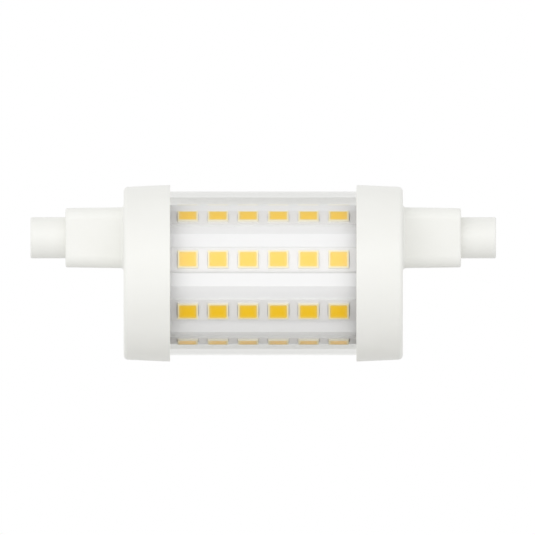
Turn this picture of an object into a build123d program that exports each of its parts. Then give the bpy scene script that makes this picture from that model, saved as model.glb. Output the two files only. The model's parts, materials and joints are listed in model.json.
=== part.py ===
from build123d import *

import os
from math import cos, pi, radians, sin, tan

# Double-ended linear LED lamp. Lengths are in millimetres and angles in degrees.
# The lamp lies along X with its necks towards +Z, and the front of the photo is -Y.
# The origin is on the axis of the clear cover, at the middle of the lamp.

# Clear cover
exposed_length = 31.2  # between the rims of the two end caps
cover_diameter = 27.5
cover_wall = 1.0

# End cap, one moulding: a cup over the cover, an off-centre square neck and a round nose
cup_depth = 7.8
cup_floor = 1.6
cup_rim_wall = 0.95
cup_draft = 2.5
cup_shoulder_radius = 0.8
cup_shoulder_flats = 2  # that make up the rounded shoulder
cover_clearance = 0.1  # between the cover and the cup around it
contact_offset = 5.95  # axis of neck and nose above the cover's axis
neck_length = 9.75
neck_width = 10.2  # across flats, at the cup
neck_corner_radius = 2.0
neck_wall = 1.4
neck_inner_corner_radius = 0.6
neck_draft = 0.8
neck_root_flare = 0.5
neck_tip_edge = 0.35
nose_length = 5.85
nose_diameter = 6.9
nose_edge = 0.25
recess_diameter = 4.2  # takes the plunger of the lamp holder
recess_depth = 1.7

# End contact, a button in a seat at the bottom of the recess
contact_diameter = 3.7
contact_thickness = 0.8
contact_clearance = 0.05

# Core, an extrusion with a groove on each flat for an LED board
side_count = 8
side_clocking = 13.0  # of the second row's face, above the front
core_gap = 0.95  # between the core's corners and the cover, were the core on the cover's axis
core_drop = 0.25  # of the core's axis below the cover's, as the core rests in the cover
core_wall = 1.1  # between the floor of a groove and the bore

# LED boards
board_width = 4.15
board_thickness = 1.0
board_side_gap = 0.05
groove_depth = 0.6

# LED packages
led_count = 6  # on each board
led_length = 3.5
led_width = 3.1
led_height = 0.4
led_rim = 0.3  # width of the housing's top face around the window
led_end_gap = 1.2  # from a cap rim to the nearest package
window_depth = 0.28
gel_drop = 0.05  # of the phosphor's face below the rim

# Link boards, on the ends of the core, with corners that carry it in the cover
link_thickness = 1.0
link_clearance = 0.05  # between the lowest corner and the cover
link_lip = 0.6  # overlap over the end of the sleeve

# Insulating sleeve, a folded film that lines the core's bore
sleeve_wall = 0.4
sleeve_clearance = 0.05

# Driver board, at the level of the mains leads, and the parts on it
driver_thickness = 1.0
driver_edge_clearance = 0.05
driver_end_gap = 2.8  # from the end of the core
part_margin = 1.6  # from the end of the driver board to the nearest part
part_gap = 1.0
capacitor_diameter = 6.3
capacitor_length = 11.0
choke_width = 6.0
choke_height = 4.6
choke_corner = 1.1
fuse_diameter = 2.4
fuse_length = 6.5
rectifier_length = 4.7
rectifier_width = 3.9
rectifier_height = 2.5
chip_length = 4.9
chip_width = 3.9
chip_height = 1.5
chip_edge = 0.3

# Mains leads and output strips, which lie on the upper side of the driver board
mains_lead_diameter = 1.2
mains_lead_clearance = 0.05  # in the end cap's hole
output_strip_width = 0.6
output_strip_thickness = 0.2
lead_overlap = 1.6  # over the end of the driver board

# Sizes worked out from those above
rim_x = exposed_length / 2
cup_end_x = rim_x + cup_depth
floor_x = cup_end_x - cup_floor
shoulder_x = cup_end_x - cup_shoulder_radius
neck_end_x = cup_end_x + neck_length
neck_cavity_end_x = neck_end_x - neck_wall
nose_end_x = neck_end_x + nose_length
contact_face_x = nose_end_x - recess_depth
contact_seat_x = contact_face_x - contact_thickness

cover_radius = cover_diameter / 2
cover_bore_radius = cover_radius - cover_wall
socket_radius = cover_radius + cover_clearance
rim_radius = socket_radius + cup_rim_wall
shoulder_radius = rim_radius - (shoulder_x - rim_x) * tan(radians(cup_draft))

side_turn = 360 / side_count
side_step = radians(side_turn)
core_half_length = floor_x - link_thickness
core_flat = (cover_bore_radius - core_gap) * cos(side_step / 2)
groove_floor = core_flat - groove_depth
bore_flat = groove_floor - core_wall
board_top = groove_floor + board_thickness
led_pitch = (exposed_length - 2 * led_end_gap - led_length) / (led_count - 1)

sleeve_outer_flat = bore_flat - sleeve_clearance
sleeve_inner_flat = sleeve_outer_flat - sleeve_wall
link_flat = (cover_bore_radius - core_drop - link_clearance) * cos(side_step / 2)
link_hole_flat = sleeve_inner_flat - link_lip

# The driver board lies parallel to the last row's flat, which is the one nearest the necks,
# and the mains leads run straight from the contacts along its upper side
driver_lean = 90 - side_clocking - 2 * side_turn
contact_rise = contact_offset + core_drop  # of the contact axis above the core's axis
driver_top = contact_rise * cos(radians(driver_lean)) - mains_lead_diameter / 2
driver_bottom = driver_top - driver_thickness
driver_half_length = core_half_length - driver_end_gap
lead_foot_x = driver_half_length - lead_overlap
capacitor_end_x = driver_half_length - part_margin
choke_x = capacitor_end_x - capacitor_length - part_gap - choke_width / 2
fuse_end_x = part_margin - driver_half_length

plane_tolerance = 1e-4  # for picking the edges in a plane


def section(x, height=0.0):
    """Plane across the lamp at x, with its centre at a height above the cover's axis."""
    return Plane(origin=(x, 0, height), x_dir=(0, 1, 0), z_dir=(1, 0, 0))


def row_angle(row):
    """Turn about X that brings a row from the top of the core to its own flat."""
    face_above_front = side_clocking + (2 - row) * side_turn
    return 90 - face_above_front


def on_core(turn):
    """Frame on the core's axis, turned about it."""
    return Pos(0, 0, -core_drop) * Rot(X=turn)


def at_other_end(piece, frame):
    """The piece at the -X end, turned end for end about the upright axis of a frame."""
    return frame * Rot(Z=180) * frame.inverse() * piece


def clear_cover():
    tube = Circle(cover_radius) - Circle(cover_bore_radius)
    return extrude(section(-floor_x) * tube, 2 * floor_x)


def ruled(outlines, height=0.0):
    """Solid through outlines across the lamp, each at its own x, with straight sides between them."""
    return loft([section(x, height) * outline for x, outline in outlines], ruled=True)


def cup():
    """Drafted disc with a rounded shoulder, before its socket is cut."""
    outlines = [(rim_x, Circle(rim_radius))]
    for flat in range(cup_shoulder_flats + 1):
        turn = pi / 2 * flat / cup_shoulder_flats
        x = shoulder_x + cup_shoulder_radius * sin(turn)
        radius = shoulder_radius - cup_shoulder_radius * (1 - cos(turn))
        outlines.append((x, Circle(radius)))
    return ruled(outlines)


def neck_outline(x, inset, corner_radius):
    """The neck's rounded square at x, on its draft, with its sides moved in by an inset."""
    width = neck_width - 2 * (x - cup_end_x) * tan(radians(neck_draft)) - 2 * inset
    return x, RectangleRounded(width, width, corner_radius)


def neck():
    """Drafted square block that flares into the cup, with a broken edge at its tip."""
    outlines = [
        neck_outline(cup_end_x, -neck_root_flare, neck_corner_radius + neck_root_flare),
        neck_outline(cup_end_x + neck_root_flare, 0, neck_corner_radius),
        neck_outline(neck_end_x - neck_tip_edge, 0, neck_corner_radius),
        neck_outline(neck_end_x, neck_tip_edge, neck_corner_radius - neck_tip_edge),
    ]
    return ruled(outlines, contact_offset)


def neck_cavity():
    outlines = [neck_outline(x, neck_wall, neck_inner_corner_radius) for x in (floor_x, neck_cavity_end_x)]
    return ruled(outlines, contact_offset)


def round_bar(diameter, start_x, end_x):
    """Round bar on the contact axis."""
    return extrude(section(start_x, contact_offset) * Circle(diameter / 2), end_x - start_x)


def edges_at(body, x):
    """Edges that lie in the plane across the lamp at x."""
    return body.edges().filter_by_position(Axis.X, x - plane_tolerance, x + plane_tolerance)


def end_cap():
    """End cap for the +X end."""
    nose = round_bar(nose_diameter, neck_end_x, nose_end_x)
    nose = chamfer(edges_at(nose, nose_end_x), nose_edge)
    body = cup() + neck() + nose
    body -= extrude(section(rim_x) * Circle(socket_radius), floor_x - rim_x)
    body -= neck_cavity()
    body -= round_bar(recess_diameter, contact_face_x, nose_end_x)
    body -= round_bar(contact_diameter + 2 * contact_clearance, contact_seat_x, contact_face_x)
    lead_hole = mains_lead_diameter + 2 * mains_lead_clearance
    body -= round_bar(lead_hole, neck_cavity_end_x, contact_seat_x)
    return body


def end_contact():
    """Contact button for the +X end."""
    return round_bar(contact_diameter, contact_seat_x, contact_face_x)


def sided(flat):
    """Outline with the core's number of sides, each at the same distance, and one side at the top."""
    turn = 90 + side_turn / 2
    return RegularPolygon(flat, side_count, major_radius=False, rotation=turn, align=None)


def along_core(outline, start_x, end_x):
    """Bar from an outline with a side at the top, turned to the core's rows."""
    return on_core(row_angle(1)) * extrude(section(start_x) * outline, end_x - start_x)


def core():
    outline = sided(core_flat)
    groove = Pos(0, core_flat) * Rectangle(board_width + 2 * board_side_gap, 2 * groove_depth)
    for side in range(side_count):
        outline -= Rot(Z=side_turn * side) * groove
    outline -= sided(bore_flat)
    return along_core(outline, -core_half_length, core_half_length)


def insulating_sleeve():
    tube = sided(sleeve_outer_flat) - sided(sleeve_inner_flat)
    return along_core(tube, -core_half_length, core_half_length)


def link_board():
    """Link board for the +X end, between the core and the cap's floor."""
    return along_core(sided(link_flat) - sided(link_hole_flat), core_half_length, floor_x)


def led_board(row):
    strip = Box(2 * core_half_length, board_width, board_thickness)
    return on_core(row_angle(row)) * Pos(0, 0, groove_floor + board_thickness / 2) * strip


def window(drop):
    """The hollow of a package under its window, from a drop below the rim to its floor."""
    depth = window_depth - drop
    hollow = Box(led_length - 2 * led_rim, led_width - 2 * led_rim, depth)
    return Pos(0, 0, led_height - drop - depth / 2) * hollow


def led_housing():
    return Pos(0, 0, led_height / 2) * Box(led_length, led_width, led_height) - window(0)


def led_row(row, package):
    """Copies of a package along one board."""
    first_x = -led_pitch * (led_count - 1) / 2
    places = [Pos(first_x + led_pitch * index, 0, board_top) for index in range(led_count)]
    flat = on_core(row_angle(row))
    return Compound(children=[flat * place * package for place in places])


def on_driver(x, y, z):
    """Place in the driver board's own frame, with its upper side towards the last row."""
    return on_core(driver_lean) * Pos(x, y, z)


def driver_side(z):
    """Half the room between the sleeve's slanted sides at a height, less the clearance."""
    return (sleeve_inner_flat - z * cos(side_step)) / sin(side_step) - driver_edge_clearance


def driver_board():
    plate = Box(2 * driver_half_length, 2 * driver_side(driver_top), driver_thickness)
    return on_driver(0, 0, driver_top - driver_thickness / 2) * plate


def hanging_can(diameter, length, end_x, y):
    """Round can that lies along X under the driver board, from its -X end."""
    can = Rot(Y=90) * extrude(Circle(diameter / 2), length)
    return on_driver(end_x, y, driver_bottom - diameter / 2) * can


def filter_capacitor():
    return hanging_can(capacitor_diameter, capacitor_length, capacitor_end_x - capacitor_length, 0)


def choke():
    """Square shielded choke under the driver board, with its upright corners cut off."""
    block = Box(choke_width, choke_width, choke_height)
    block = chamfer(block.edges().filter_by(Axis.Z), choke_corner)
    return on_driver(choke_x, 0, driver_bottom - choke_height / 2) * block


def fuse_resistor():
    """Axial body on one side of the driver board's middle line."""
    return hanging_can(fuse_diameter, fuse_length, fuse_end_x, (part_gap + fuse_diameter) / 2)


def moulded_chip(length, width, height):
    """Block that stands on the plane at its origin, with its upper edges cut off."""
    block = Box(length, width, height, align=(Align.CENTER, Align.CENTER, Align.MIN))
    return chamfer(block.faces().sort_by(Axis.Z)[-1].edges(), chip_edge)


def rectifier():
    """Block under the driver board, beside the fuse."""
    block = moulded_chip(rectifier_length, rectifier_width, rectifier_height)
    y = -(part_gap + rectifier_width) / 2
    return on_driver(fuse_end_x + rectifier_length / 2, y, driver_bottom) * Rot(X=180) * block


def control_chip():
    """Block at the middle of the driver board's upper side."""
    return on_driver(0, 0, driver_top) * moulded_chip(chip_length, chip_width, chip_height)


def mains_lead():
    """Lead from the back of the +X contact, through the neck, to the driver board."""
    return round_bar(mains_lead_diameter, lead_foot_x, contact_seat_x)


def output_strip():
    """Flat strip along one edge of the driver board to the lip of the +X link board."""
    length = core_half_length - lead_foot_x
    strip = Box(length, output_strip_width, output_strip_thickness)
    y = driver_side(driver_top + output_strip_thickness) - output_strip_width / 2
    return on_driver(lead_foot_x + length / 2, y, driver_top + output_strip_thickness / 2) * strip


def lamp_pieces():
    """Every piece by its name."""
    pieces = {
        "clear_cover": clear_cover(),
        "core": core(),
        "insulating_sleeve": insulating_sleeve(),
        "driver_board": driver_board(),
        "filter_capacitor": filter_capacitor(),
        "choke": choke(),
        "fuse_resistor": fuse_resistor(),
        "rectifier": rectifier(),
        "control_chip": control_chip(),
    }
    lamp_frame = Pos(0, 0, 0)
    driver_frame = on_core(driver_lean)
    for name, piece, frame in (
        ("end_cap", end_cap(), lamp_frame),
        ("end_contact", end_contact(), lamp_frame),
        ("mains_lead", mains_lead(), lamp_frame),
        ("link_board", link_board(), driver_frame),
        ("output_strip", output_strip(), driver_frame),
    ):
        pieces["right_" + name] = piece
        pieces["left_" + name] = at_other_end(piece, frame)
    housing = led_housing()
    gel = window(gel_drop)
    for row in range(1, side_count + 1):
        pieces[f"led_board_{row}"] = led_board(row)
        pieces[f"led_housings_{row}"] = led_row(row, housing)
        pieces[f"led_phosphors_{row}"] = led_row(row, gel)
    return pieces


os.makedirs("parts", exist_ok=True)
for node, piece in lamp_pieces().items():
    export_step(piece, f"parts/{node}.step")
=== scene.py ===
import json
from math import cos, pi, radians, sin, tan

import bmesh
import bpy
from mathutils import Matrix, Vector


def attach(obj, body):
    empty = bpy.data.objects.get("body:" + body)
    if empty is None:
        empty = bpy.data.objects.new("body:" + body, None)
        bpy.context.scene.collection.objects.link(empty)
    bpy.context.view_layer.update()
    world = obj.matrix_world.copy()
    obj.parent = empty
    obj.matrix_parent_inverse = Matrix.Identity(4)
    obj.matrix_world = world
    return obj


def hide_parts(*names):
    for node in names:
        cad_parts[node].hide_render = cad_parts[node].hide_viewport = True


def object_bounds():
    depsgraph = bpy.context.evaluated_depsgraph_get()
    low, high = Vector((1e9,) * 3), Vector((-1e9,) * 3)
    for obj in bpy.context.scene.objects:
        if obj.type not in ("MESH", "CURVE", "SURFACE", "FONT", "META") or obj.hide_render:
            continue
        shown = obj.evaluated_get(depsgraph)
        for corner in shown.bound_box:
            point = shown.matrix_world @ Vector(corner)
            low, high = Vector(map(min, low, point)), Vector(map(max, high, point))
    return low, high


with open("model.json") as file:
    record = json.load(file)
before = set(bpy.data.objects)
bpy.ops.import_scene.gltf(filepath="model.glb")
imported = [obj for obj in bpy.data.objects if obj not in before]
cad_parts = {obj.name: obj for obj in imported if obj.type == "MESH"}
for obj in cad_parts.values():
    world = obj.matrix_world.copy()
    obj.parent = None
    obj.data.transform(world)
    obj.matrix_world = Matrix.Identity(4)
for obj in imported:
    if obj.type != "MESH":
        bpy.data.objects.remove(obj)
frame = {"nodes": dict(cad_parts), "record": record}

# Double-ended linear LED lamp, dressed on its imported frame. Sizes are in millimetres and angles in
# degrees until a mesh is made. The lamp lies along X, its necks are towards +Z and its front is -Y.

MM = 0.001
cad_low, cad_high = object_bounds()


def box_mm(node, turn=0.0, axis_height=0.0):
    """Lowest and highest corner of a CAD node, in a frame turned about an axis along X."""
    back = Matrix.Rotation(radians(-turn), 3, "X")
    centre = Vector((0, 0, axis_height))
    points = [back @ (vertex.co / MM - centre) for vertex in frame["nodes"][node].data.vertices]
    low = Vector(min(point[axis] for point in points) for axis in range(3))
    high = Vector(max(point[axis] for point in points) for axis in range(3))
    return low, high


def mount_mm(name):
    """Dimensions of one of the record's mounts."""
    return next(mount["dims"] for mount in frame["record"]["mounts"] if mount["name"] == name)


# Rows of LED packages round the core
side_count = 8
side_turn = 360 / side_count
second_row_lift = 13.0  # of the second row's face above the front
packages_in_row = 6


def row_turn(row):
    """Turn about X that brings a row from the top of the core to its own flat."""
    return 90 - second_row_lift - (2 - row) * side_turn


# Sizes read from the frame
cap_low, cap_high = box_mm("right_end_cap")
cover_high = box_mm("clear_cover")[1]
contact_low, contact_high = box_mm("right_end_contact")
lead_low, lead_high = box_mm("right_mains_lead")
link_high = box_mm("right_link_board")[1]
core_low, core_high = box_mm("core")
core_height = (core_low.z + core_high.z) / 2  # of the core's axis
packages_low, packages_high = box_mm("led_housings_1", row_turn(1), core_height)
board_low, board_high = box_mm("led_board_1", row_turn(1), core_height)
flat_top = box_mm("core", row_turn(1), core_height)[1].z

rim_x = cap_low.x
rim_radius = cap_high.y
cup_floor_x = link_high.x
nose_end_x = cap_high.x
contact_height = (contact_low.z + contact_high.z) / 2
contact_radius = (contact_high.y - contact_low.y) / 2
cover_radius = cover_high.y
board_top = packages_low.z
package_top = packages_high.z
package_width = packages_high.y - packages_low.y
nose_radius = mount_mm("right_nose")["r_mm"]
recess_radius = mount_mm("right_contact_recess")["r_mm"]

# End caps and contacts, beyond what the frame's boxes give
cup_depth = 7.8
cup_draft = 2.5
shoulder_rounding = 0.8
rim_rounding = 0.14
socket_clearance = 0.1
neck_length = 9.75
neck_width = 10.2
neck_corner = 2.0
neck_wall = 1.4
neck_inner_corner = 0.6
neck_draft = 0.8
neck_root_fillet = 0.5
neck_tip_rounding = 0.35
nose_rounding = 0.25
recess_rounding = 0.12
contact_clearance = 0.05
contact_rounding = 0.2

# Cover
cover_wall = 1.0
cover_edge = 0.08

# LED packages: the glow shares say how much of a painted yellow glow, standing for the phosphor's light
# shining through the housing, lies on its rim and walls
package_length = 3.5
package_corner = 0.12
package_draft = 0.04
package_rounding = 0.05
window_rim = 0.3
window_corner = 0.3
window_slope = 0.1
window_depth = 0.28
rim_painted_glow = 0.7
wall_painted_glow = 0.5
gel_drop = 0.05  # of the gel's middle below the housing's top
gel_corner = 0.1  # least, on the gel's inner outlines

# Solder joints
solder_length = 2.3
solder_reach = 0.13
solder_height = 0.09
solder_steps = 5

# Beads of bonding silicone along the boards, each with a hollow face
bead_gap = 0.05  # between a board and its groove
bead_reach = 0.2
bead_rise = 0.2
bead_hollow = 0.43  # reach and rise at the middle of the face, as shares of the whole
bead_edge = 0.003  # thickness where the bead runs out
bead_depth = 0.2
bead_end = 0.3

# Broken edges of the pieces that keep their CAD shape: a width, and the least turn of an edge
link_board_edge = (0.06, 30)
led_board_edge = (0.01, 30)
core_groove_edge = (0.01, 60)
core_corner = (0.15, 40)
inner_edge_turn = 30

# Points round a loop
cap_points = 144
cover_points = 288
contact_points = 64
package_points = 32

cup_end_x = rim_x + cup_depth
neck_end_x = cup_end_x + neck_length
shoulder_x = cup_end_x - shoulder_rounding
shoulder_radius = rim_radius - (shoulder_x - rim_x) * tan(radians(cup_draft))
window_length = package_length - 2 * window_rim
window_width = package_width - 2 * window_rim
first_package_x = packages_low.x + package_length / 2
package_pitch = (packages_high.x - packages_low.x - package_length) / (packages_in_row - 1)
package_places = [first_package_x + package_pitch * index for index in range(packages_in_row)]


# Finishes

def linear(srgb):
    """Linear colour from an sRGB hex value."""
    colour = []
    for place in (1, 3, 5):
        share = int(srgb[place:place + 2], 16) / 255
        colour.append(share / 12.92 if share <= 0.04045 else ((share + 0.055) / 1.055) ** 2.4)
    return (*colour, 1)


def per_mm(size):
    """Texture scale that gives a pattern its size in millimetres."""
    return 1 / (size * MM)


# A Mix node's sockets share their names, so they go by number: the factor, then two numbers in, or
# two colours in and one out
MIX_FACTOR, MIX_LOW, MIX_HIGH = 0, 2, 3
MIX_FIRST, MIX_SECOND, MIX_OUT = 6, 7, 2


def add(tree, kind, inputs=None, **settings):
    """Adds a node with its settings. An input takes a plain value, or a socket to link from."""
    made = tree.nodes.new("ShaderNode" + kind)
    for name, value in settings.items():
        setattr(made, name, value)
    for name, value in (inputs or {}).items():
        if isinstance(value, bpy.types.NodeSocket):
            tree.links.new(value, made.inputs[name])
        else:
            made.inputs[name].default_value = value
    return made


def start_finish(name):
    """An empty material, its node tree and the place of each point on the piece."""
    finish = bpy.data.materials.new(name)
    finish.use_nodes = True
    tree = finish.node_tree
    tree.nodes.clear()
    return finish, tree, add(tree, "TexCoord").outputs["Object"]


def moulded_polyester():
    # Glass-filled polyester from a finely textured mould: a warm white satin with a faint grain,
    # drawn coarser than the real grain so that it shows, and a slight clouding of the gloss
    finish, tree, place = start_finish("moulded_polyester")
    clouding = add(tree, "TexNoise", {"Vector": place, "Scale": per_mm(5), "Detail": 3})
    grain = add(tree, "TexNoise", {"Vector": place, "Scale": per_mm(0.25), "Detail": 2})
    tone = add(tree, "Mix", {
        MIX_FACTOR: clouding.outputs[0], MIX_FIRST: linear("#F4F4EF"), MIX_SECOND: linear("#F8F8F4"),
    }, data_type="RGBA")
    gloss = add(tree, "MapRange", {"Value": clouding.outputs[0], "To Min": 0.38, "To Max": 0.5})
    relief = add(tree, "Bump", {"Height": grain.outputs[0], "Distance": 0.003 * MM})
    shader = add(tree, "BsdfPrincipled", {
        "Base Color": tone.outputs[MIX_OUT],
        "Roughness": gloss.outputs[0],
        "Normal": relief.outputs[0],
        "IOR": 1.55,
    })
    add(tree, "OutputMaterial", {"Surface": shader.outputs[0]})
    return finish


def clear_polycarbonate():
    # Extruded tube with a thin wall: what is behind it shows in its true place, with a gloss that
    # grows towards the edges, where the way through the wall is longer and slightly grey. Faint draw
    # lines along it change the gloss. Light for the pieces inside passes straight through
    finish, tree, place = start_finish("clear_polycarbonate")
    along = add(tree, "Mapping", {"Vector": place, "Scale": (0.05, 1, 1)})
    lines = add(tree, "TexNoise", {"Vector": along.outputs[0], "Scale": per_mm(1.2), "Detail": 1})
    haze = add(tree, "MapRange", {"Value": lines.outputs[0], "To Min": 0.01, "To Max": 0.03})
    slant = add(tree, "LayerWeight", {"Blend": 0.5}).outputs["Facing"]
    wall_path = add(tree, "Math", {0: slant, 1: 2.0}, operation="POWER")
    grazing = add(tree, "Math", {0: slant, 1: 5.0}, operation="POWER")
    mirror = add(tree, "MapRange", {"Value": grazing.outputs[0], "To Min": 0.03})
    tint = add(tree, "Mix", {
        MIX_FACTOR: wall_path.outputs[0], MIX_FIRST: linear("#FFFFFF"), MIX_SECOND: linear("#E9E9E6"),
    }, data_type="RGBA")
    through = add(tree, "BsdfTransparent", {"Color": tint.outputs[MIX_OUT]})
    gloss = add(tree, "BsdfAnisotropic", {"Color": (1, 1, 1, 1), "Roughness": haze.outputs[0]})
    clear = add(tree, "MixShader", {0: mirror.outputs[0], 1: through.outputs[0], 2: gloss.outputs[0]})
    passing = add(tree, "BsdfTransparent", {"Color": linear("#FFFFFF")})
    rays = add(tree, "LightPath")
    scattered = add(tree, "MixShader", {
        0: rays.outputs["Is Diffuse Ray"], 1: clear.outputs[0], 2: passing.outputs[0],
    })
    lit = add(tree, "MixShader", {
        0: rays.outputs["Is Shadow Ray"], 1: scattered.outputs[0], 2: passing.outputs[0],
    })
    add(tree, "OutputMaterial", {"Surface": lit.outputs[0]})
    return finish


def coated_aluminium():
    # Extruded aluminium with a baked white coat: smooth, half gloss, with a faint orange peel and with
    # the drawn lines of the metal under it
    finish, tree, place = start_finish("coated_aluminium")
    peel = add(tree, "TexNoise", {"Vector": place, "Scale": per_mm(0.7), "Detail": 2})
    along = add(tree, "Mapping", {"Vector": place, "Scale": (0.04, 1, 1)})
    drawn = add(tree, "TexNoise", {"Vector": along.outputs[0], "Scale": per_mm(0.9), "Detail": 2})
    tone = add(tree, "Mix", {
        MIX_FACTOR: drawn.outputs[0], MIX_FIRST: linear("#F5F5F5"), MIX_SECOND: linear("#F8F8F8"),
    }, data_type="RGBA")
    gloss = add(tree, "MapRange", {"Value": drawn.outputs[0], "To Min": 0.3, "To Max": 0.42})
    relief = add(tree, "Bump", {"Height": peel.outputs[0], "Distance": 0.002 * MM})
    shader = add(tree, "BsdfPrincipled", {
        "Base Color": tone.outputs[MIX_OUT],
        "Roughness": gloss.outputs[0],
        "Normal": relief.outputs[0],
        "IOR": 1.5,
    })
    add(tree, "OutputMaterial", {"Surface": shader.outputs[0]})
    return finish


def white_solder_mask():
    # Printed white solder mask on a board: even, slightly glossy, a little greyer than the core's coat
    finish, tree, place = start_finish("white_solder_mask")
    flow = add(tree, "TexNoise", {"Vector": place, "Scale": per_mm(1.5), "Detail": 3})
    tone = add(tree, "Mix", {
        MIX_FACTOR: flow.outputs[0], MIX_FIRST: linear("#ECEBEA"), MIX_SECOND: linear("#F0EFEE"),
    }, data_type="RGBA")
    gloss = add(tree, "MapRange", {"Value": flow.outputs[0], "To Min": 0.3, "To Max": 0.45})
    relief = add(tree, "Bump", {"Height": flow.outputs[0], "Distance": 0.004 * MM})
    shader = add(tree, "BsdfPrincipled", {
        "Base Color": tone.outputs[MIX_OUT],
        "Roughness": gloss.outputs[0],
        "Normal": relief.outputs[0],
        "IOR": 1.52,
    })
    add(tree, "OutputMaterial", {"Surface": shader.outputs[0]})
    return finish


def moulded_nylon():
    # White moulded housing of an LED package: matt white walls with a painted pale yellow glow towards
    # the window, standing for the phosphor's light that would shine through them
    finish, tree, place = start_finish("moulded_nylon")
    clouding = add(tree, "TexNoise", {"Vector": place, "Scale": per_mm(0.6), "Detail": 2})
    painted_window_glow = add(tree, "Attribute", attribute_name="painted_window_glow").outputs["Fac"]
    plain = add(tree, "Mix", {
        MIX_FACTOR: clouding.outputs[0], MIX_FIRST: linear("#F2F1EA"), MIX_SECOND: linear("#F6F5F0"),
    }, data_type="RGBA")
    # Painted glow: the housing turns pale yellow by the share of painted glow at each corner
    tone = add(tree, "Mix", {
        MIX_FACTOR: painted_window_glow, MIX_FIRST: plain.outputs[MIX_OUT], MIX_SECOND: linear("#FDECB2"),
    }, data_type="RGBA")
    gloss = add(tree, "MapRange", {"Value": clouding.outputs[0], "To Min": 0.45, "To Max": 0.6})
    shader = add(tree, "BsdfPrincipled", {
        "Base Color": tone.outputs[MIX_OUT],
        "Roughness": gloss.outputs[0],
        "IOR": 1.53,
    })
    add(tree, "OutputMaterial", {"Surface": shader.outputs[0]})
    return finish


def phosphor_silicone():
    # Yellow phosphor grains settled in clear silicone: a deep yellow in the middle of the window, paler
    # over the sloping white walls, under a soft gloss. The phosphor turns the blue of the light on it
    # into a warmer light, which a small painted orange glow stands for
    finish, tree, place = start_finish("phosphor_silicone")
    depth = add(tree, "Attribute", attribute_name="gel_depth").outputs["Fac"]
    grains = add(tree, "TexNoise", {"Vector": place, "Scale": per_mm(0.16), "Detail": 2})
    settled = add(tree, "Mix", {
        MIX_FACTOR: grains.outputs[0], MIX_FIRST: linear("#D2C40C"), MIX_SECOND: linear("#D9CB14"),
    }, data_type="RGBA")
    tone = add(tree, "Mix", {
        MIX_FACTOR: depth, MIX_FIRST: linear("#F5D778"), MIX_SECOND: settled.outputs[MIX_OUT],
    }, data_type="RGBA")
    # Painted glow: a little orange light given off by the gel, most where it is deepest
    painted_phosphor_glow = add(tree, "MapRange", {"Value": depth, "To Max": 0.34})
    relief = add(tree, "Bump", {"Height": grains.outputs[0], "Distance": 0.002 * MM})
    gloss = add(tree, "MapRange", {"Value": grains.outputs[0], "To Min": 0.25, "To Max": 0.4})
    shader = add(tree, "BsdfPrincipled", {
        "Base Color": tone.outputs[MIX_OUT],
        "Roughness": gloss.outputs[0],
        "Normal": relief.outputs[0],
        "IOR": 1.43,
        "Specular IOR Level": 0.2,
        "Coat Weight": 1.0,
        "Coat Roughness": 0.15,
        "Coat IOR": 1.41,
        "Emission Color": linear("#FF7600"),
        "Emission Strength": painted_phosphor_glow.outputs[0],
    })
    add(tree, "OutputMaterial", {"Surface": shader.outputs[0]})
    return finish


def bright_solder():
    # Reflowed tin solder: a bright grey metal with a slightly frosted skin
    finish, tree, place = start_finish("bright_solder")
    frost = add(tree, "TexNoise", {"Vector": place, "Scale": per_mm(0.2), "Detail": 3})
    tone = add(tree, "Mix", {
        MIX_FACTOR: frost.outputs[0], MIX_FIRST: linear("#E4E4E5"), MIX_SECOND: linear("#F0F0F0"),
    }, data_type="RGBA")
    gloss = add(tree, "MapRange", {"Value": frost.outputs[0], "To Min": 0.55, "To Max": 0.75})
    relief = add(tree, "Bump", {"Height": frost.outputs[0], "Distance": 0.004 * MM})
    shader = add(tree, "BsdfPrincipled", {
        "Base Color": tone.outputs[MIX_OUT],
        "Roughness": gloss.outputs[0],
        "Normal": relief.outputs[0],
        "Metallic": 1.0,
    })
    add(tree, "OutputMaterial", {"Surface": shader.outputs[0]})
    return finish


def turned_nickel():
    # Turned brass button with bright nickel plate: a warm silver with turning rings, drawn coarser
    # than the real ones so that they show. The wave texture turns by 20 radians in each unit
    finish, tree, place = start_finish("turned_nickel")
    ring_scale = per_mm(0.754) * 2 * pi / 20
    centred = add(tree, "Mapping", {"Vector": place, "Location": (0, 0, -contact_height * MM)})
    rings = add(tree, "TexWave", {
        "Vector": centred.outputs[0], "Scale": ring_scale, "Distortion": 0.4, "Detail": 2,
    }, wave_type="RINGS", rings_direction="X")
    tone = add(tree, "Mix", {
        MIX_FACTOR: rings.outputs[1], MIX_FIRST: linear("#CFC9BD"), MIX_SECOND: linear("#DED9CE"),
    }, data_type="RGBA")
    gloss = add(tree, "MapRange", {"Value": rings.outputs[1], "To Min": 0.2, "To Max": 0.32})
    relief = add(tree, "Bump", {"Height": rings.outputs[1], "Distance": 0.003 * MM})
    shader = add(tree, "BsdfPrincipled", {
        "Base Color": tone.outputs[MIX_OUT],
        "Roughness": gloss.outputs[0],
        "Normal": relief.outputs[0],
        "Metallic": 1.0,
    })
    add(tree, "OutputMaterial", {"Surface": shader.outputs[0]})
    return finish


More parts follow.
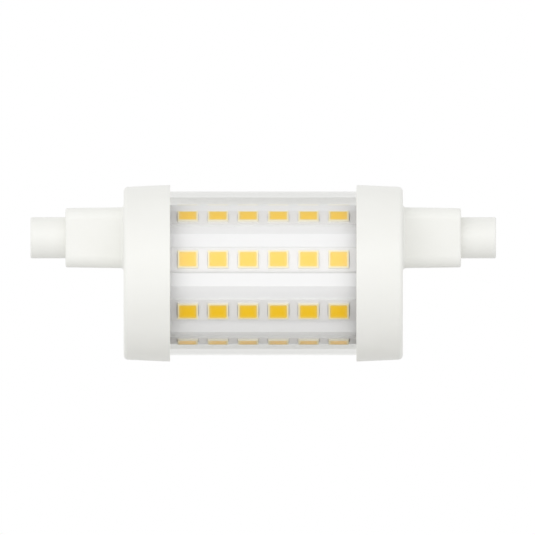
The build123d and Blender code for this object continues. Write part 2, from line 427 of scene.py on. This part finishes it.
def inner_finish(name, dark, light, pattern, rough, relief_depth, metallic=0.0):
    """Finish of an inner piece: two tones and a gloss that change over a pattern of a given size."""
    finish, tree, place = start_finish(name)
    rough_spread = 0.08
    change = add(tree, "TexNoise", {"Vector": place, "Scale": per_mm(pattern), "Detail": 3})
    tone = add(tree, "Mix", {
        MIX_FACTOR: change.outputs[0], MIX_FIRST: linear(dark), MIX_SECOND: linear(light),
    }, data_type="RGBA")
    gloss = add(tree, "MapRange", {
        "Value": change.outputs[0], "To Min": rough - rough_spread, "To Max": rough + rough_spread,
    })
    relief = add(tree, "Bump", {"Height": change.outputs[0], "Distance": relief_depth * MM})
    shader = add(tree, "BsdfPrincipled", {
        "Base Color": tone.outputs[MIX_OUT],
        "Roughness": gloss.outputs[0],
        "Normal": relief.outputs[0],
        "Metallic": metallic,
    })
    add(tree, "OutputMaterial", {"Surface": shader.outputs[0]})
    return finish


def pale_floor():
    # Matt white studio floor, which takes the lamp's shadow
    finish, tree, place = start_finish("pale_floor")
    speckle = add(tree, "TexNoise", {"Vector": place, "Scale": per_mm(4), "Detail": 2})
    tone = add(tree, "Mix", {
        MIX_FACTOR: speckle.outputs[0], MIX_FIRST: linear("#F6F6F6"), MIX_SECOND: linear("#F8F8F8"),
    }, data_type="RGBA")
    shader = add(tree, "BsdfDiffuse", {"Color": tone.outputs[MIX_OUT]})
    add(tree, "OutputMaterial", {"Surface": shader.outputs[0]})
    return finish


# Shapes

def circle(radius, count):
    """Points of a circle, the first half a step round from its start."""
    turns = [2 * pi * (index + 0.5) / count for index in range(count)]
    return [(radius * cos(turn), radius * sin(turn)) for turn in turns]


def rounded_rectangle(length, width, corner, count):
    """Points of a rounded rectangle, an equal number on each corner."""
    on_corner = count // 4
    points = []
    for quarter, (side_x, side_y) in enumerate(((1, 1), (-1, 1), (-1, -1), (1, -1))):
        for index in range(on_corner):
            turn = pi / 2 * (quarter + index / (on_corner - 1))
            points.append((
                side_x * (length / 2 - corner) + corner * cos(turn),
                side_y * (width / 2 - corner) + corner * sin(turn),
            ))
    return points


def arc(along, out, radius, start, end, steps=5):
    """Points of an arc in a profile, each a place along the axis and a distance out from it."""
    turns = [radians(start + (end - start) * index / steps) for index in range(steps + 1)]
    return [(along + radius * cos(turn), out + radius * sin(turn)) for turn in turns]


def across(points, x, height=0.0):
    """A loop across the lamp at x, round a centre at a height."""
    return [Vector((x, y, height + z)) for y, z in points]


def level(points, z, x):
    """A loop on a level above a board, round a centre at x."""
    return [Vector((x + along, y, z)) for along, y in points]


def skin(shape, loops, closed=False):
    """Faces from each loop to the next, then from the last to the first, or over both ends.

    Gives the corners of each loop.
    """
    rows = [[shape.verts.new(point * MM) for point in loop] for loop in loops]
    pairs = list(zip(rows, rows[1:]))
    if closed:
        pairs.append((rows[-1], rows[0]))
    else:
        shape.faces.new(reversed(rows[0]))
        shape.faces.new(rows[-1])
    count = len(loops[0])
    for first, second in pairs:
        for index in range(count):
            after = (index + 1) % count
            shape.faces.new((first[index], first[after], second[after], second[index]))
    return rows


def mesh_of(name, shape, sharp_angle=35):
    """Mesh from a finished shape, smooth but for its sharp edges."""
    bmesh.ops.recalc_face_normals(shape, faces=shape.faces)
    mesh = bpy.data.meshes.new(name)
    shape.to_mesh(mesh)
    shape.free()
    mesh.shade_smooth()
    mesh.set_sharp_from_angle(angle=radians(sharp_angle))
    return mesh


def piece(name, mesh, finish, slot, stands_for=None, turn=(0, 0, 0), height=0.0):
    """Places a mesh as a named piece of the lamp, turned by angles in degrees and lifted to a height."""
    made = bpy.data.objects.new(name, mesh)
    made.rotation_euler = [radians(angle) for angle in turn]
    made.location.z = height * MM
    bpy.context.scene.collection.objects.link(made)
    if not mesh.materials:
        mesh.materials.append(finish)
    even = made.modifiers.new("even_normals", "WEIGHTED_NORMAL")
    even.keep_sharp = True
    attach(made, "root")
    if stands_for:
        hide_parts(stands_for)


def neck_outline(x, inset, corner):
    """The neck's rounded square at x, on its draft."""
    width = neck_width - 2 * (x - cup_end_x) * tan(radians(neck_draft)) - 2 * inset
    return across(rounded_rectangle(width, width, corner, cap_points), x, contact_height)


def end_cap_mesh():
    """One moulding for the +X end: round cup, square neck and round nose, with the hollows inside."""
    socket_radius = cover_radius + socket_clearance
    lead_radius = (lead_high.y - lead_low.y) / 2 + contact_clearance
    seat_radius = contact_radius + contact_clearance
    cavity_end_x = neck_end_x - neck_wall
    rim_arc_x = rim_x + rim_rounding
    shoulder_out = shoulder_radius - shoulder_rounding
    recess_out = recess_radius + recess_rounding
    cup = arc(rim_arc_x, rim_radius - rim_rounding, rim_rounding, 180, 90, steps=4)
    cup += arc(shoulder_x, shoulder_out, shoulder_rounding, 90 - cup_draft, 0, steps=8)
    root = arc(cup_end_x + neck_root_fillet, neck_root_fillet, neck_root_fillet, 180, 270, steps=6)
    tip = arc(neck_end_x - neck_tip_rounding, -neck_tip_rounding, neck_tip_rounding, 90, 0)
    nose = [(neck_end_x, nose_radius)]
    nose += arc(nose_end_x - nose_rounding, nose_radius - nose_rounding, nose_rounding, 90, 0)
    nose += arc(nose_end_x - recess_rounding, recess_out, recess_rounding, 0, -90, steps=4)
    nose += [(contact_high.x, recess_radius), (contact_high.x, seat_radius)]
    nose += [(contact_low.x, seat_radius), (contact_low.x, lead_radius), (cavity_end_x, lead_radius)]
    socket = [(cup_floor_x, socket_radius)]
    socket += arc(rim_arc_x, socket_radius + rim_rounding, rim_rounding, 270, 180, steps=4)
    loops = [across(circle(radius, cap_points), x) for x, radius in cup]
    loops += [neck_outline(x, -flare, neck_corner + flare) for x, flare in root + tip]
    loops += [across(circle(radius, cap_points), x, contact_height) for x, radius in nose]
    loops += [neck_outline(x, neck_wall, neck_inner_corner) for x in (cavity_end_x, cup_floor_x)]
    loops += [across(circle(radius, cap_points), x) for x, radius in socket]
    shape = bmesh.new()
    skin(shape, loops, closed=True)
    return mesh_of("end_cap", shape)


def clear_cover_mesh():
    """Tube with its sharp ends broken."""
    end_x = cover_high.x
    bore = cover_radius - cover_wall
    profile = [(end_x, cover_radius - cover_edge), (end_x - cover_edge, cover_radius)]
    profile += [(cover_edge - end_x, cover_radius), (-end_x, cover_radius - cover_edge)]
    profile += [(-end_x, bore + cover_edge), (cover_edge - end_x, bore)]
    profile += [(end_x - cover_edge, bore), (end_x, bore + cover_edge)]
    shape = bmesh.new()
    skin(shape, [across(circle(radius, cover_points), x) for x, radius in profile], closed=True)
    return mesh_of("clear_cover", shape)


def end_contact_mesh():
    """Button for the +X end, with a rounded face edge."""
    edge_x = contact_high.x - contact_rounding
    profile = [(contact_low.x, contact_radius)]
    profile += arc(edge_x, contact_radius - contact_rounding, contact_rounding, 90, 0, steps=6)
    shape = bmesh.new()
    skin(shape, [across(circle(radius, contact_points), x, contact_height) for x, radius in profile])
    return mesh_of("end_contact", shape)


def package_outline(out):
    """Points of a housing's outline, moved outwards."""
    length = package_length + 2 * out
    width = package_width + 2 * out
    return rounded_rectangle(length, width, package_corner + out, package_points)


def window_outline(inset):
    """Points of the outline of a housing's window, moved inwards."""
    length = window_length - 2 * inset
    width = window_width - 2 * inset
    return rounded_rectangle(length, width, max(window_corner - inset, gel_corner), package_points)


def package_mesh():
    """Six LED housings on a board that faces up, each a tray with a rounded window."""
    edge_out = -package_rounding - package_draft
    walls = [(board_top, 0)]
    walls += arc(package_top - package_rounding, edge_out, package_rounding, 90, 0, steps=3)
    window = ((package_top, 0), (package_top - window_depth, window_slope))
    # Shares of painted glow: full in the window, less at the rim's edge, half on the rounded edge and
    # walls, none at their foot
    painted_glow_shares = (1, 1, rim_painted_glow, wall_painted_glow, wall_painted_glow, wall_painted_glow)
    shape = bmesh.new()
    painted_window_glow = shape.verts.layers.float.new("painted_window_glow")
    for x in package_places:
        loops = [level(package_outline(out), z, x) for z, out in walls]
        loops += [level(window_outline(inset), z, x) for z, inset in window]
        for loop, share in zip(reversed(skin(shape, loops)), painted_glow_shares):
            for corner in loop:
                corner[painted_window_glow] = share
    return mesh_of("led_packages", shape)


def phosphor_mesh():
    """The gel in each window: level and deepest in the middle, climbing a little at the edge."""
    # Drop below the housing's top, inset from the window's edge, and share of the gel's full depth
    profile = (
        (window_depth, window_slope, 0),
        (gel_drop / 3, 0.01, 0),
        (gel_drop * 0.7, 0.08, 0.5),
        (gel_drop, 0.22, 0.75),
        (gel_drop, 0.5, 0.95),
        (gel_drop, 0.8, 1),
    )
    shape = bmesh.new()
    gel_depth = shape.verts.layers.float.new("gel_depth")
    for x in package_places:
        loops = [level(window_outline(inset), package_top - drop, x) for drop, inset, _ in profile]
        for loop, (_, _, depth) in zip(skin(shape, loops), profile):
            for corner in loop:
                corner[gel_depth] = depth
    return mesh_of("led_phosphors", shape, sharp_angle=60)


def solder_mesh():
    """Concave solder joints at both ends of each package, thinner at their own ends."""
    # Place along a joint, as a share of half its length, and share of its full thickness
    profile = ((-1, 0.25), (-0.88, 0.8), (-0.6, 1), (0.6, 1), (0.88, 0.8), (1, 0.25))
    shape = bmesh.new()
    for x in package_places:
        for side in (-1, 1):
            wall_x = x + side * package_length / 2
            loops = []
            for along, thickness in profile:
                y = along * solder_length / 2
                hollow = []
                for step in range(solder_steps + 1):
                    out = step / solder_steps
                    reach = solder_reach * thickness * out
                    rise = solder_height * thickness * (1 - out) ** 2
                    hollow.append(Vector((wall_x + side * reach, y, board_top + rise)))
                loops.append([Vector((wall_x, y, board_top)), *reversed(hollow)])
            skin(shape, loops)
    return mesh_of("led_solder", shape)


def bead_mesh():
    """Thin beads of bonding silicone in the gaps along both edges of a board that faces up."""
    ends = (board_low.x + bead_end, board_high.x - bead_end)
    profile = (
        (0, -bead_depth),
        (0, bead_rise),
        (bead_reach * bead_hollow, bead_rise * bead_hollow),
        (bead_reach, bead_edge),
        (bead_gap, 0),
        (bead_gap, -bead_depth),
    )
    shape = bmesh.new()
    for side in (-1, 1):
        section = [(side * (board_high.y + out), flat_top + up) for out, up in profile]
        skin(shape, [across(section, x) for x in ends])
    return mesh_of("board_beads", shape)


def soften(node, *roundings):
    """Breaks a CAD piece's sharp edges, one rounding after another."""
    made = frame["nodes"][node]
    made.modifiers.new("weld", "WELD").merge_threshold = 0.001 * MM
    for width, angle in roundings:
        bevel = made.modifiers.new("broken_edges", "BEVEL")
        bevel.width = width * MM
        bevel.segments = 2
        bevel.limit_method = "ANGLE"
        bevel.angle_limit = radians(angle)
    made.modifiers.new("even_normals", "WEIGHTED_NORMAL").keep_sharp = True


def dress(node, finish):
    """Gives a CAD piece its finish."""
    mesh = frame["nodes"][node].data
    mesh.materials.clear()
    mesh.materials.append(finish)


# The lamp

polyester = moulded_polyester()
polycarbonate = clear_polycarbonate()
aluminium = coated_aluminium()
board_mask = white_solder_mask()
nylon = moulded_nylon()
phosphor = phosphor_silicone()
solder = bright_solder()
nickel = turned_nickel()

# Finishes of the inner pieces: two tones, size of the pattern, roughness and depth of the relief.
# Milky film with a slight sheen
film = inner_finish("polyester_film", "#E6E6DC", "#EEEEE6", 2.0, 0.45, 0.003)
# Printed green mask on the driver board: dark, with a soft gloss
green_mask = inner_finish("green_solder_mask", "#1B4A2A", "#255C36", 1.5, 0.35, 0.004)
# Dark shrunk sleeve: glossy, with long soft waves
shrink_sleeve = inner_finish("shrink_sleeve", "#15161A", "#202228", 3.0, 0.3, 0.006)
# Pressed and sintered ferrite: dark grey, dull and gritty
ferrite = inner_finish("sintered_ferrite", "#202022", "#313135", 0.3, 0.6, 0.012)
# Dipped and baked lacquer: grey green, slightly glossy
lacquer = inner_finish("resistor_lacquer", "#63816A", "#7A9A80", 1.0, 0.35, 0.008)
# Moulded epoxy: black, with a fine dull grain
epoxy = inner_finish("moulded_epoxy", "#0E0E0F", "#1C1C1E", 0.25, 0.55, 0.006)
# Extruded silicone on the leads: soft white, half matt
silicone = inner_finish("silicone_insulation", "#E4E4DE", "#F0F0EA", 1.2, 0.5, 0.004)
# Silicone bead along a board: white, half matt, a little greyer than the core's coat
bonding = inner_finish("bonding_silicone", "#ECECEA", "#F1F1EF", 1.2, 0.5, 0.003)
# Tinned strip: a bright grey metal with a slight frost
tinned_copper = inner_finish("tinned_copper", "#BFBDB6", "#D6D4CE", 0.4, 0.3, 0.003, 1.0)

piece("cover_tube", clear_cover_mesh(), polycarbonate, "clear_polycarbonate", "clear_cover")
cap_mesh = end_cap_mesh()
contact_mesh = end_contact_mesh()
for end, half_turn in (("right", 0), ("left", 180)):
    piece(end + "_cap", cap_mesh, polyester, "white_moulding", end + "_end_cap", (0, 0, half_turn))
    piece(end + "_button", contact_mesh, nickel, "nickel_plate", end + "_end_contact", (0, 0, half_turn))
    dress(end + "_link_board", board_mask)
    dress(end + "_mains_lead", silicone)
    dress(end + "_output_strip", tinned_copper)
    soften(end + "_link_board", link_board_edge)

row_packages = package_mesh()
row_phosphors = phosphor_mesh()
row_solder = solder_mesh()
row_beads = bead_mesh()
for row in range(1, side_count + 1):
    place = {"turn": (row_turn(row), 0, 0), "height": core_height}
    piece(f"led_packages_{row}", row_packages, nylon, "led_housing", f"led_housings_{row}", **place)
    piece(f"led_gel_{row}", row_phosphors, phosphor, "led_phosphor", f"led_phosphors_{row}", **place)
    piece(f"led_solder_{row}", row_solder, solder, "tinned_copper", **place)
    piece(f"board_beads_{row}", row_beads, bonding, "white_insulation", **place)
    dress(f"led_board_{row}", board_mask)
    soften(f"led_board_{row}", led_board_edge)

dress("core", aluminium)
soften("core", core_groove_edge, core_corner)
for node, finish, width in (
    ("insulating_sleeve", film, 0.1),
    ("driver_board", green_mask, 0.05),
    ("filter_capacitor", shrink_sleeve, 0.4),
    ("choke", ferrite, 0.15),
    ("fuse_resistor", lacquer, 0.3),
    ("rectifier", epoxy, 0.05),
    ("control_chip", epoxy, 0.05),
):
    dress(node, finish)
    soften(node, (width, inner_edge_turn))


# The studio, with lengths in metres

photo_size = 535
photo_scale = 5.968  # pixels to a millimetre
lamp_middle = (263.25, 273.25)  # pixels, on the cover's axis at mid-length
camera_distance = 0.3
floor_half = 1.5
floor_drop = 0.02  # the lamp hangs between its holders, clear of the floor
softbox_side = 0.3
softbox_distance = 0.55
left_light = 0.88  # soft light from the left and from the right
right_light = 0.65
surround = 1.05  # what gloss and clear pieces show: at eye level, underneath and overhead
surround_below = 0.1
surround_above = 0.65
background = 1.0  # white

floor_z = cad_low.z - floor_drop
floor_sides = ((-1, -1), (1, -1), (1, 1), (-1, 1))
floor_corners = [(x * floor_half, y * floor_half, floor_z) for x, y in floor_sides]
floor_mesh = bpy.data.meshes.new("floor")
floor_mesh.from_pydata(floor_corners, [], [(0, 1, 2, 3)])
floor_mesh.materials.append(pale_floor())
floor = bpy.data.objects.new("floor", floor_mesh)
bpy.context.scene.collection.objects.link(floor)
floor.visible_glossy = False  # gloss shows the surround in its place


def studio_world():
    """Soft light that fades from left to right, with a white background for the camera.

    Gloss and clear pieces show a surround that is darker underneath and a little darker overhead.
    """
    world = bpy.data.worlds.new("studio")
    world.use_nodes = True
    tree = world.node_tree
    tree.nodes.clear()
    rays = add(tree, "LightPath")
    way = add(tree, "SeparateXYZ", {0: add(tree, "TexCoord").outputs["Generated"]})
    soft = add(tree, "MapRange", {
        "Value": way.outputs["X"], "From Min": -1, "To Min": left_light, "To Max": right_light,
    })
    below = add(tree, "MapRange", {
        "Value": way.outputs["Z"], "From Min": -0.95, "From Max": -0.15,
        "To Min": surround_below, "To Max": surround,
    }, interpolation_type="SMOOTHSTEP")
    above = add(tree, "MapRange", {
        "Value": way.outputs["Z"], "From Min": 0.6, "To Min": surround, "To Max": surround_above,
    })
    seen = add(tree, "Math", {0: below.outputs[0], 1: above.outputs[0]}, operation="MINIMUM")
    shown = add(tree, "Math", {
        0: rays.outputs["Is Glossy Ray"], 1: rays.outputs["Is Transmission Ray"],
    }, operation="MAXIMUM")
    unscattered = add(tree, "Math", {0: rays.outputs["Diffuse Depth"], 1: 0.5}, operation="LESS_THAN")
    reached = add(tree, "Math", {0: shown.outputs[0], 1: unscattered.outputs[0]}, operation="MULTIPLY")
    inner = add(tree, "Mix", {
        MIX_FACTOR: reached.outputs[0], MIX_LOW: soft.outputs[0], MIX_HIGH: seen.outputs[0],
    })
    strength = add(tree, "Mix", {
        MIX_FACTOR: rays.outputs["Is Camera Ray"], MIX_LOW: inner.outputs[0], MIX_HIGH: background,
    })
    light = add(tree, "Background", {"Color": (1, 1, 1, 1), "Strength": strength.outputs[0]})
    add(tree, "OutputWorld", {"Surface": light.outputs[0]})
    return world


def softbox(name, left, lift, radiance):
    """Square area light that faces the lamp, turned to the left of the front and lifted above it."""
    light = bpy.data.lights.new(name, "AREA")
    light.size = softbox_side
    light.energy = radiance * pi * softbox_side * softbox_side
    made = bpy.data.objects.new(name, light)
    turn_left, turn_up = radians(left), radians(lift)
    way = Vector((-sin(turn_left) * cos(turn_up), -cos(turn_left) * cos(turn_up), sin(turn_up)))
    made.location = way * softbox_distance
    made.rotation_euler = way.to_track_quat("Z", "Y").to_euler()
    made.visible_camera = False
    bpy.context.scene.collection.objects.link(made)


def photo_camera():
    """Level camera without perspective, square to the lamp, framed as the photo is."""
    lens = bpy.data.cameras.new("camera")
    lens.type = "ORTHO"
    lens.ortho_scale = photo_size / photo_scale * MM
    made = bpy.data.objects.new("camera", lens)
    centre_x = (photo_size / 2 - lamp_middle[0]) / photo_scale * MM
    centre_z = (lamp_middle[1] - photo_size / 2) / photo_scale * MM
    made.location = (centre_x, -camera_distance, centre_z)
    made.rotation_euler = (radians(90), 0, 0)
    bpy.context.scene.collection.objects.link(made)
    bpy.context.scene.camera = made


bpy.context.scene.world = studio_world()
softbox("front_key", left=0, lift=20, radiance=0.8)
softbox("left_key", left=32, lift=22, radiance=1.05)
softbox("right_key", left=-32, lift=22, radiance=0.75)
photo_camera()
bpy.context.scene.view_settings.view_transform = "Standard"
